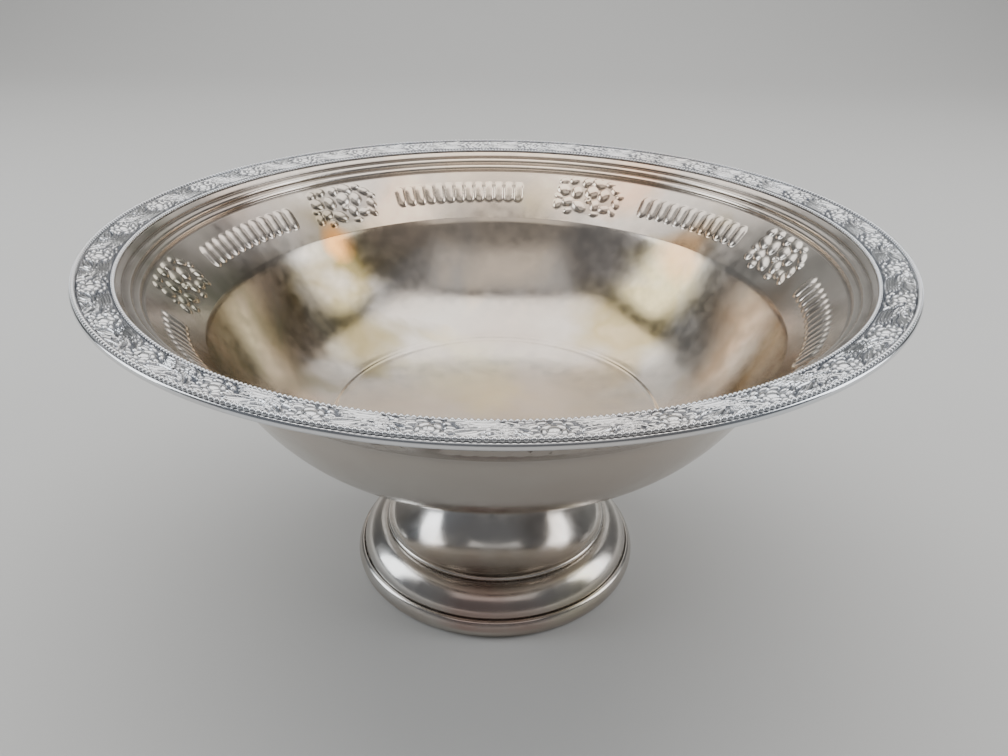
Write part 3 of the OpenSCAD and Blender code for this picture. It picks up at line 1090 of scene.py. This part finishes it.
@dataclass
class RimWork(SubAssembly):
    """The work on the flange: edge wire, four border strips and two bead wires, in millimetres."""

    rim: RimSizes
    solder_lap: float = 0.05
    edge_wire_h: float = 2.0
    edge_wire_bend: float = 0.62
    edge_wire_points: int = 15
    rose_count: int = 30
    seam_angle: float = 84.0
    seam_gap: float = 0.02
    strip_names: tuple[str, ...] = ("right", "back", "left", "front")
    strip_rows: int = 46
    rose_columns: int = 144
    strip_edge_w: float = 0.5
    outer_bead_share: float = 0.6
    outer_bead_count: int = 510
    inner_bead_d: float = 1.4
    inner_bead_count: int = 540

    def build(self) -> None:
        """Makes the edge wire, the border strips and the bead wires."""
        self.edge_wire()
        self.border()
        self.bead_wires()

    def edge_wire(self) -> None:
        """Makes the plain rounded wire around the outside of the rim."""
        high = self.rim.edge_z
        low = high - self.edge_wire_h
        inner_r = self.rim.border_out_r + self.solder_lap
        centre = (self.rim.radius - self.edge_wire_bend, (low + high) / 2)
        half = (self.edge_wire_bend, self.edge_wire_h / 2)
        outside = arc(centre, half, 90, -90, self.edge_wire_points)
        line = np.array([(inner_r, high), *outside, (inner_r, low)])
        self.turn("edge_wire", "rim_edge_wire", Slot.RIM, line, columns=WIRE_COLUMNS)

    def border(self) -> None:
        """Makes the four stamped border strips, which meet at seams a quarter turn apart."""
        middle_r = self.rim.border_in_r + self.rim.border_w / 2
        relief = BorderRelief(2 * math.pi * middle_r / self.rose_count)
        y = np.linspace(0, self.rim.border_w, self.strip_rows)
        x = np.arange(self.rose_columns) * relief.pitch / self.rose_columns
        tile_x, tile_y = np.meshgrid(x, y)
        height, recess = relief.height(tile_x, tile_y)
        inset = np.minimum(tile_y, self.rim.border_w - tile_y)
        height = height * np.clip(inset / self.strip_edge_w, 0, 1)
        whole = self.rose_columns * self.rose_count
        quarter = whole // 4
        seam = round(self.seam_angle * whole / FULL_TURN)
        for k, name in enumerate(self.strip_names):
            steps = seam + (k - 1) * quarter + np.arange(quarter + 1)
            column = steps % self.rose_columns
            angle = steps * FULL_TURN / whole
            angle[[0, -1]] += [self.seam_gap, -self.seam_gap]
            strip = self.strip(f"border_{name}", angle, height[:, column], recess[:, column])
            self.add(strip, f"rim_border_{name}", Slot.RIM)

    def strip(
        self, name: str, angle: np.ndarray, height: np.ndarray, recess: np.ndarray
    ) -> bpy.types.Object:
        """Makes one closed strip, plain below and with the relief on top.

        Args:
            name: object name.
            angle: directions in degrees.
            height: relief over the plate, a row for each place across the strip.
            recess: recess values, in the same rows.

        Returns:
            The object.
        """
        a = np.radians(angle)
        r = self.rim.border_in_r + np.linspace(0, self.rim.border_w, self.strip_rows)
        base = self.rim.flange_z(r)
        rows = [around(a, r[0], base[0])]
        rows += [around(a, r[k], base[k] + self.rim.border_plate + height[k]) for k in range(len(r))]
        rows.append(around(a, r[-1], base[-1]))
        count, total = len(a), len(rows)
        faces: list[Face] = []
        for i in range(total):
            here, there = i * count, (i + 1) % total * count
            faces.extend((here + c, here + c + 1, there + c + 1, there + c) for c in range(count - 1))
        faces.append(tuple(i * count for i in range(total)))
        faces.append(tuple(i * count + count - 1 for i in range(total - 1, -1, -1)))
        levels = np.concatenate([recess[:1], recess, recess[-1:]])
        return mesh_object(name, np.concatenate(rows) * MM, faces, levels.ravel())

    def bead_wires(self) -> None:
        """Makes the outer bead wire on the edge wire and the inner one beside the slope."""
        rim = self.rim
        outer_r = rim.radius - rim.edge_wire_w * self.outer_bead_share
        inner_r = (rim.border_in_r + rim.bead_seat_r) / 2
        inner_z = rim.flange_z(rim.border_in_r) + self.solder_lap
        for side, ring_r, bead_d, flat_z, count in (
            ("outer", outer_r, rim.outer_bead_d, rim.edge_z, self.outer_bead_count),
            ("inner", inner_r, self.inner_bead_d, inner_z, self.inner_bead_count),
        ):
            row = BeadRow(f"{side}_beads", ring_r, bead_d, flat_z, count, rim.bead_sink_share)
            self.add(row.build(), f"{side}_bead_wire", Slot.RIM)


@dataclass(frozen=True)
class Grain:
    """A noise texture: its scale, its octaves, the strength of the finer ones and its twist."""

    scale: float
    detail: float
    finer: float = 0.5
    twist: float = 0.0


class NodeBuilder:
    """Short helpers for making one material's nodes, with coordinates on the object itself at hand."""

    def __init__(self, material: bpy.types.Material) -> None:
        """Clears the material's nodes and starts them with the coordinates.

        Args:
            material: the material.
        """
        material.use_nodes = True
        self.tree = material.node_tree
        self.tree.nodes.clear()
        self.place = self.add("ShaderNodeTexCoord").outputs["Object"]

    def add(self, kind: str) -> bpy.types.Node:
        """Adds a node of a type, by its name."""
        return self.tree.nodes.new(kind)

    def link(self, source: bpy.types.NodeSocket, target: bpy.types.NodeSocket) -> None:
        """Joins an output to an input."""
        self.tree.links.new(source, target)

    def surface(self, shader: bpy.types.Node) -> None:
        """Makes a shader the material's surface."""
        self.link(shader.outputs["BSDF"], self.add("ShaderNodeOutputMaterial").inputs["Surface"])

    def feed(self, target: bpy.types.NodeSocket, value: Value) -> None:
        """Links a socket, or sets a number or a colour on it.

        Args:
            target: the input.
            value: an output socket, a number or three colour values.
        """
        if isinstance(value, bpy.types.NodeSocket):
            self.link(value, target)
        elif isinstance(value, tuple):
            target.default_value = (*value, 1.0)
        else:
            target.default_value = value

    def noise(self, grain: Grain) -> bpy.types.NodeSocket:
        """Adds a noise texture.

        Args:
            grain: its scale and detail.

        Returns:
            The value, about 0.3 to 0.7.
        """
        node = self.add("ShaderNodeTexNoise")
        self.link(self.place, node.inputs["Vector"])
        node.inputs["Scale"].default_value = grain.scale
        node.inputs["Detail"].default_value = grain.detail
        node.inputs["Roughness"].default_value = grain.finer
        node.inputs["Distortion"].default_value = grain.twist
        return node.outputs["Fac"]

    def span(self, value: Value, given: Pair, wanted: Pair = (0.0, 1.0)) -> bpy.types.NodeSocket:
        """Maps a value from one range to another and holds it inside.

        Args:
            value: the input.
            given: inputs for the two outputs.
            wanted: the two outputs.

        Returns:
            The mapped value.
        """
        node = self.add("ShaderNodeMapRange")
        for key, number in zip(("From Min", "From Max", "To Min", "To Max"), (*given, *wanted)):
            node.inputs[key].default_value = number
        self.feed(node.inputs["Value"], value)
        return node.outputs["Result"]

    def math(self, kind: str, first: Value, second: Value) -> bpy.types.NodeSocket:
        """Adds a calculation.

        Args:
            kind: its operation.
            first: first value.
            second: second value.

        Returns:
            The result.
        """
        node = self.add("ShaderNodeMath")
        node.operation = kind
        self.feed(node.inputs[0], first)
        self.feed(node.inputs[1], second)
        return node.outputs[0]

    def mix(self, amount: Value, first: Value, second: Value) -> bpy.types.NodeSocket:
        """Mixes two colours.

        Args:
            amount: share of the second.
            first: first colour.
            second: second colour.

        Returns:
            The mixed colour.
        """
        node = self.add("ShaderNodeMix")
        node.data_type = "RGBA"
        self.feed(node.inputs["Factor"], amount)
        self.feed(node.inputs[6], first)
        self.feed(node.inputs[7], second)
        return node.outputs[2]


@dataclass(frozen=True)
class Patch:
    """A cloud of colour on the plate, toning for most and painted light for a few: its centre and reach in
    metres, colour and strength.
    """

    centre: Triple
    reach: float
    colour: Triple
    amount: float
    edge_share: float = 0.5
    core_share: float = 0.25


@dataclass(frozen=True)
class PlateFinish:
    """Finish of one group of pieces: worn, toned silver plate, dark in its hollows with oxide and painted
    shade.
    """

    name: str
    metal: Triple = (0.61, 0.57, 0.52)
    warm: Triple = (0.49, 0.40, 0.33)
    warm_amount: float = 0.65
    patches: tuple[Patch, ...] = ()
    # dark colour of the hollows: oxide, with painted shade in gaps and creases
    oxide_and_shade: Triple = (0.10, 0.085, 0.075)
    oxide_and_shade_metallic: float = 0.6
    roughness: float = 0.15
    roughness_spread: Pair = (-0.03, 0.04)
    smudge: float = 0.06
    hollow_roughness: float = 0.25
    scratch: float = 0.04
    scratch_depth: float = 0.0003
    broad: Grain = Grain(13.0, 3.0, 0.5, 0.6)
    cloud: Grain = Grain(30.0, 3.0, 0.45, 0.3)
    fine: Grain = Grain(180.0, 2.0)
    cloud_bump: float = 1.2
    cloud_range: Pair = (0.3, 0.7)
    fine_range: Pair = (0.35, 0.65)
    warm_range: Pair = (0.36, 0.68)
    upward_range: Pair = (-0.05, 0.15)
    hollow_range: Pair = (0.25, 0.6)
    hollow_strength: Pair = (0.8, 1.0)
    dull_range: Pair = (0.2, 1.0)

    def material(self) -> bpy.types.Material:
        """Builds the node material.

        Returns:
            The material.
        """
        made = bpy.data.materials.new(self.name)
        made.diffuse_color = (*self.metal, 1)
        nodes = PlateNodes(made, self)
        deep = nodes.hollows()
        metallic = nodes.span(deep, self.dull_range, (1.0, self.oxide_and_shade_metallic))
        shader = nodes.add("ShaderNodeBsdfPrincipled")
        # the hollows are mixed towards the dark of oxide and painted shade
        nodes.link(nodes.mix(deep, nodes.toning_and_painted_light(), self.oxide_and_shade), shader.inputs["Base Color"])
        nodes.link(metallic, shader.inputs["Metallic"])
        nodes.link(nodes.rough(deep), shader.inputs["Roughness"])
        nodes.link(nodes.scratches(), shader.inputs["Normal"])
        nodes.surface(shader)
        return made


class PlateNodes(NodeBuilder):
    """The nodes of one plate finish."""

    def __init__(self, material: bpy.types.Material, finish: PlateFinish) -> None:
        """Starts the material with the cloudy and the fine noise of its finish.

        Args:
            material: the material.
            finish: the finish.
        """
        super().__init__(material)
        self.finish = finish
        self.cloud = self.noise(finish.cloud)
        self.fine = self.noise(finish.fine)

    def clouds(self, low: float, high: float) -> bpy.types.NodeSocket:
        """The cloudy noise, spread between two values."""
        return self.span(self.cloud, self.finish.cloud_range, (low, high))

    def mask(self, patch: Patch) -> bpy.types.NodeSocket:
        """Soft mask around a patch, with an uneven edge.

        Args:
            patch: the patch.

        Returns:
            The mask.
        """
        far = self.add("ShaderNodeVectorMath")
        far.operation = "DISTANCE"
        self.link(self.place, far.inputs[0])
        far.inputs[1].default_value = patch.centre
        sway = patch.edge_share * patch.reach
        edge = self.math("ADD", far.outputs["Value"], self.clouds(-sway, sway))
        return self.span(edge, (patch.reach, patch.reach * patch.core_share), (0.0, patch.amount))

    def toning_and_painted_light(self) -> bpy.types.NodeSocket:
        """Colour of the plate, warm in broad clouds and with its patches of toning and painted light on
        faces that look up.

        Returns:
            The colour.
        """
        finish = self.finish
        warmth = self.span(self.noise(finish.broad), finish.warm_range, (0.0, finish.warm_amount))
        colour = self.mix(warmth, finish.metal, finish.warm)
        if finish.patches:
            facing = self.add("ShaderNodeSeparateXYZ")
            self.link(self.add("ShaderNodeNewGeometry").outputs["Normal"], facing.inputs[0])
            upward = self.span(facing.outputs["Z"], finish.upward_range)
            for patch in finish.patches:
                shown = self.math("MULTIPLY", upward, self.mask(patch))
                colour = self.mix(shown, colour, patch.colour)
        return colour

    def hollows(self) -> bpy.types.NodeSocket:
        """Mask of the dark hollows, where oxide and painted shade lie, from the mesh's recess values.

        Returns:
            The mask.
        """
        recess = self.add("ShaderNodeAttribute")
        recess.attribute_name = "recess"
        strength = self.span(self.cloud, self.finish.hollow_range, self.finish.hollow_strength)
        return self.math("MULTIPLY", recess.outputs["Fac"], strength)

    def rough(self, deep: Value) -> bpy.types.NodeSocket:
        """Roughness of the plate, with smudges and rougher hollows.

        Args:
            deep: mask of the hollows.

        Returns:
            The roughness.
        """
        finish = self.finish
        low, high = (finish.roughness + change for change in finish.roughness_spread)
        plain = self.span(self.fine, finish.fine_range, (low, high))
        smudged = self.math("ADD", plain, self.clouds(-finish.smudge / 3, finish.smudge * 2 / 3))
        return self.math("ADD", smudged, self.span(deep, (0.0, 1.0), (0.0, finish.hollow_roughness)))

    def scratches(self) -> bpy.types.NodeSocket:
        """Slight unevenness of the surface.

        Returns:
            The normal.
        """
        bump = self.add("ShaderNodeBump")
        bump.inputs["Strength"].default_value = self.finish.scratch
        bump.inputs["Distance"].default_value = self.finish.scratch_depth
        broad = self.math("MULTIPLY", self.cloud, self.finish.cloud_bump)
        self.link(self.math("ADD", self.fine, broad), bump.inputs["Height"])
        return bump.outputs["Normal"]


WELL_PATCHES = (
    Patch((-0.074, 0.056, 0.092), 0.048, (0.19, 0.135, 0.035), 0.94),
    Patch((-0.060, 0.050, 0.078), 0.026, (0.38, 0.32, 0.18), 0.6),
    Patch((-0.077, 0.020, 0.088), 0.022, (0.56, 0.40, 0.28), 0.7),
    Patch((-0.094, -0.004, 0.096), 0.042, (0.24, 0.24, 0.16), 0.85),
    Patch((0.062, 0.060, 0.085), 0.044, (0.43, 0.34, 0.16), 0.88),
    Patch((0.090, 0.010, 0.093), 0.032, (0.42, 0.31, 0.21), 0.75),
    Patch((-0.005, 0.090, 0.094), 0.030, (0.42, 0.36, 0.30), 0.5),
    Patch((-0.014, 0.034, 0.059), 0.030, (0.66, 0.60, 0.38), 0.55),
    Patch((0.038, 0.030, 0.060), 0.026, (0.58, 0.45, 0.30), 0.5),
    Patch((0.0, -0.035, 0.060), 0.030, (0.60, 0.54, 0.40), 0.4),
    Patch((-0.071, 0.069, 0.105), 0.010, (0.75, 0.34, 0.10), 0.85),
    Patch((0.076, 0.062, 0.107), 0.016, (0.60, 0.34, 0.16), 0.7),
    Patch((0.058, 0.094, 0.121), 0.028, (0.78, 0.50, 0.33), 0.75),
    Patch((0.014, 0.106, 0.113), 0.013, (0.80, 0.62, 0.28), 0.75),
    Patch((-0.047, 0.098, 0.116), 0.024, (0.72, 0.50, 0.34), 0.65),
    Patch((-0.105, 0.050, 0.115), 0.030, (0.56, 0.47, 0.43), 0.6),
    # toning with painted light: a pale peach that lightens the back of the band as more fill light would
    Patch((0.0, 0.112, 0.122), 0.066, (0.86, 0.70, 0.54), 0.75),
)
FOOT_TONING_AND_HIGHLIGHTS = (
    # toning on the foot, with painted highlights on the left and right of stem and dome; this one is darker
    # on the stem's right side
    Patch((0.018, -0.027, 0.028), 0.016, (0.30, 0.26, 0.22), 0.6),
    # painted highlight: pale and cool on the stem's left
    Patch((-0.026, -0.020, 0.030), 0.014, (0.66, 0.68, 0.70), 0.5),
    Patch((0.0, -0.050, 0.011), 0.020, (0.42, 0.28, 0.24), 0.7),
    # painted highlight: warm yellow on the dome's right front
    Patch((0.033, -0.038, 0.014), 0.018, (0.64, 0.60, 0.42), 0.6),
    # painted highlight: pale and cool on the dome's left front
    Patch((-0.036, -0.034, 0.014), 0.018, (0.66, 0.68, 0.69), 0.5),
)
PLATES = {
    Slot.BOWL: PlateFinish(
        "toned_bowl_plate_with_painted_light", patches=WELL_PATCHES, roughness=0.19, hollow_roughness=0.0
    ),
    Slot.RIM: PlateFinish(
        "bright_rim_plate",
        metal=(0.71, 0.73, 0.76),
        warm=(0.60, 0.54, 0.49),
        warm_amount=0.5,
        oxide_and_shade=(0.035, 0.045, 0.065),
        roughness=0.12,
    ),
    Slot.FOOT: PlateFinish(
        "foot_plate",
        metal=(0.60, 0.57, 0.53),
        warm=(0.43, 0.35, 0.29),
        patches=FOOT_TONING_AND_HIGHLIGHTS,
        roughness=0.19,
    ),
    Slot.SOLDER: PlateFinish("dull_solder", metal=(0.50, 0.48, 0.45), warm_amount=0.3, roughness=0.4),
}


@dataclass(frozen=True)
class AreaLamp:
    """A soft lamp: place, aim, width and height in metres, power in watts and colour."""

    name: str
    place: Triple
    aim: Triple
    width: float
    height: float
    power: float
    colour: Triple

    def make(self) -> None:
        """Makes the lamp and turns it to its aim."""
        data = bpy.data.lights.new(self.name, "AREA")
        data.shape = "RECTANGLE"
        data.size = self.width
        data.size_y = self.height
        data.energy = self.power
        data.color = self.colour
        made = bpy.data.objects.new(self.name, data)
        made.location = self.place
        towards = Vector(self.aim) - Vector(self.place)
        made.rotation_euler = towards.to_track_quat("-Z", "Y").to_euler()
        bpy.context.scene.collection.objects.link(made)


@dataclass(frozen=True)
class Studio:
    """Floor with a swept back, soft light and the camera of the picture, in metres and degrees."""

    half_width: float = 5.0
    front: float = -4.5
    sweep_start: float = 1.1
    sweep_r: float = 0.8
    sweep_points: int = 25
    back_height: float = 2.6
    floor_colour: Triple = (0.60, 0.60, 0.59)
    mottle: Grain = Grain(3.0, 3.0)
    mottle_dark: float = 0.96
    floor_roughness: float = 0.8
    sky: Triple = (0.86, 0.89, 0.95)
    sky_strength: float = 0.2
    camera_place: Triple = (0.0026, -0.2870, 0.2307)
    pitch: float = 28.15
    roll: float = 0.86
    lens: float = 31.07
    sensor_w: float = 36.0
    clip_start: float = 0.01
    lamps: tuple[AreaLamp, ...] = (
        AreaLamp("overhead", (0.0, 0.35, 1.5), (0.0, 0.05, 0.1), 2.2, 1.6, 27.0, (1.0, 0.98, 0.95)),
        AreaLamp("front_fill", (0.0, -1.15, 1.6), (0.0, 0.0, 0.1), 2.0, 0.9, 3.5, (1.0, 0.99, 0.97)),
        AreaLamp("back_soft", (0.0, 1.45, 1.3), (0.0, 0.0, 0.06), 2.0, 0.7, 3.2, (1.0, 0.99, 0.96)),
        AreaLamp("left_window", (-1.1, 0.05, 0.55), (0.0, 0.0, 0.06), 0.5, 0.9, 6.5, (0.93, 0.97, 1.0)),
        AreaLamp("right_window", (1.1, 0.05, 0.55), (0.0, 0.0, 0.06), 0.5, 0.9, 6.5, (0.96, 0.98, 1.0)),
    )

    def build(self) -> None:
        """Makes the floor, the lamps, the sky and the camera."""
        self.floor()
        for lamp in self.lamps:
            lamp.make()
        world = bpy.data.worlds.new("studio")
        world.use_nodes = True
        back = world.node_tree.nodes["Background"]
        back.inputs["Color"].default_value = (*self.sky, 1)
        back.inputs["Strength"].default_value = self.sky_strength
        bpy.context.scene.world = world
        self.camera()

    def floor(self) -> None:
        """Makes the pale floor, which sweeps up behind the bowl."""
        r = self.sweep_r
        sweep = arc((self.sweep_start, r), (r, r), -90, 0, self.sweep_points).tolist()
        profile = [(self.front, 0.0), *sweep, (self.sweep_start + r, self.back_height)]
        points = [(side, y, z) for y, z in profile for side in (-self.half_width, self.half_width)]
        faces = [(2 * k, 2 * k + 1, 2 * k + 3, 2 * k + 2) for k in range(len(profile) - 1)]
        mesh = bpy.data.meshes.new("floor")
        mesh.from_pydata(points, [], faces)
        mesh.polygons.foreach_set("use_smooth", np.ones(len(faces), bool))
        mesh.materials.append(self.floor_paint())
        floor = bpy.data.objects.new("floor", mesh)
        bpy.context.scene.collection.objects.link(floor)

    def floor_paint(self) -> bpy.types.Material:
        """Builds the floor's pale, faintly mottled material.

        Returns:
            The material.
        """
        made = bpy.data.materials.new("pale_floor")
        nodes = NodeBuilder(made)
        shader = nodes.add("ShaderNodeBsdfPrincipled")
        darker = tuple(v * self.mottle_dark for v in self.floor_colour)
        mottled = nodes.mix(nodes.noise(self.mottle), self.floor_colour, darker)
        nodes.link(mottled, shader.inputs["Base Color"])
        shader.inputs["Roughness"].default_value = self.floor_roughness
        nodes.surface(shader)
        return made

    def camera(self) -> None:
        """Makes the camera at the photograph's place and angle."""
        data = bpy.data.cameras.new("photo_camera")
        data.lens = self.lens
        data.sensor_width = self.sensor_w
        data.sensor_fit = "HORIZONTAL"
        data.clip_start = self.clip_start
        made = bpy.data.objects.new("photo_camera", data)
        pitch, roll = math.radians(self.pitch), math.radians(self.roll)
        forward = Vector((0, math.cos(pitch), -math.sin(pitch)))
        right, up = Vector((1, 0, 0)), Vector((0, math.sin(pitch), math.cos(pitch)))
        side = right * math.cos(roll) + up * math.sin(roll)
        top = up * math.cos(roll) - right * math.sin(roll)
        turn = Matrix((side, top, -forward)).transposed()
        made.matrix_world = Matrix.Translation(self.camera_place) @ turn.to_4x4()
        bpy.context.scene.collection.objects.link(made)
        bpy.context.scene.camera = made


def main() -> None:
    """Builds the bowl from its foot up, then the studio around it."""
    logging.basicConfig(level=logging.INFO, format="%(name)s: %(message)s")
    finishes = {slot: plate.material() for slot, plate in PLATES.items()}
    rim = RimSizes(radius=135.0, height=135.0)
    bowl = BowlShell(finishes, rim)
    for group in (Foot(finishes, bowl), bowl, RimWork(finishes, rim)):
        group.build()
        for piece in group.made:
            LOG.info("%s: %s, %d faces", type(group).__name__, piece.name, len(piece.data.polygons))
    Studio().build()


if __name__ == "__main__":
    main()
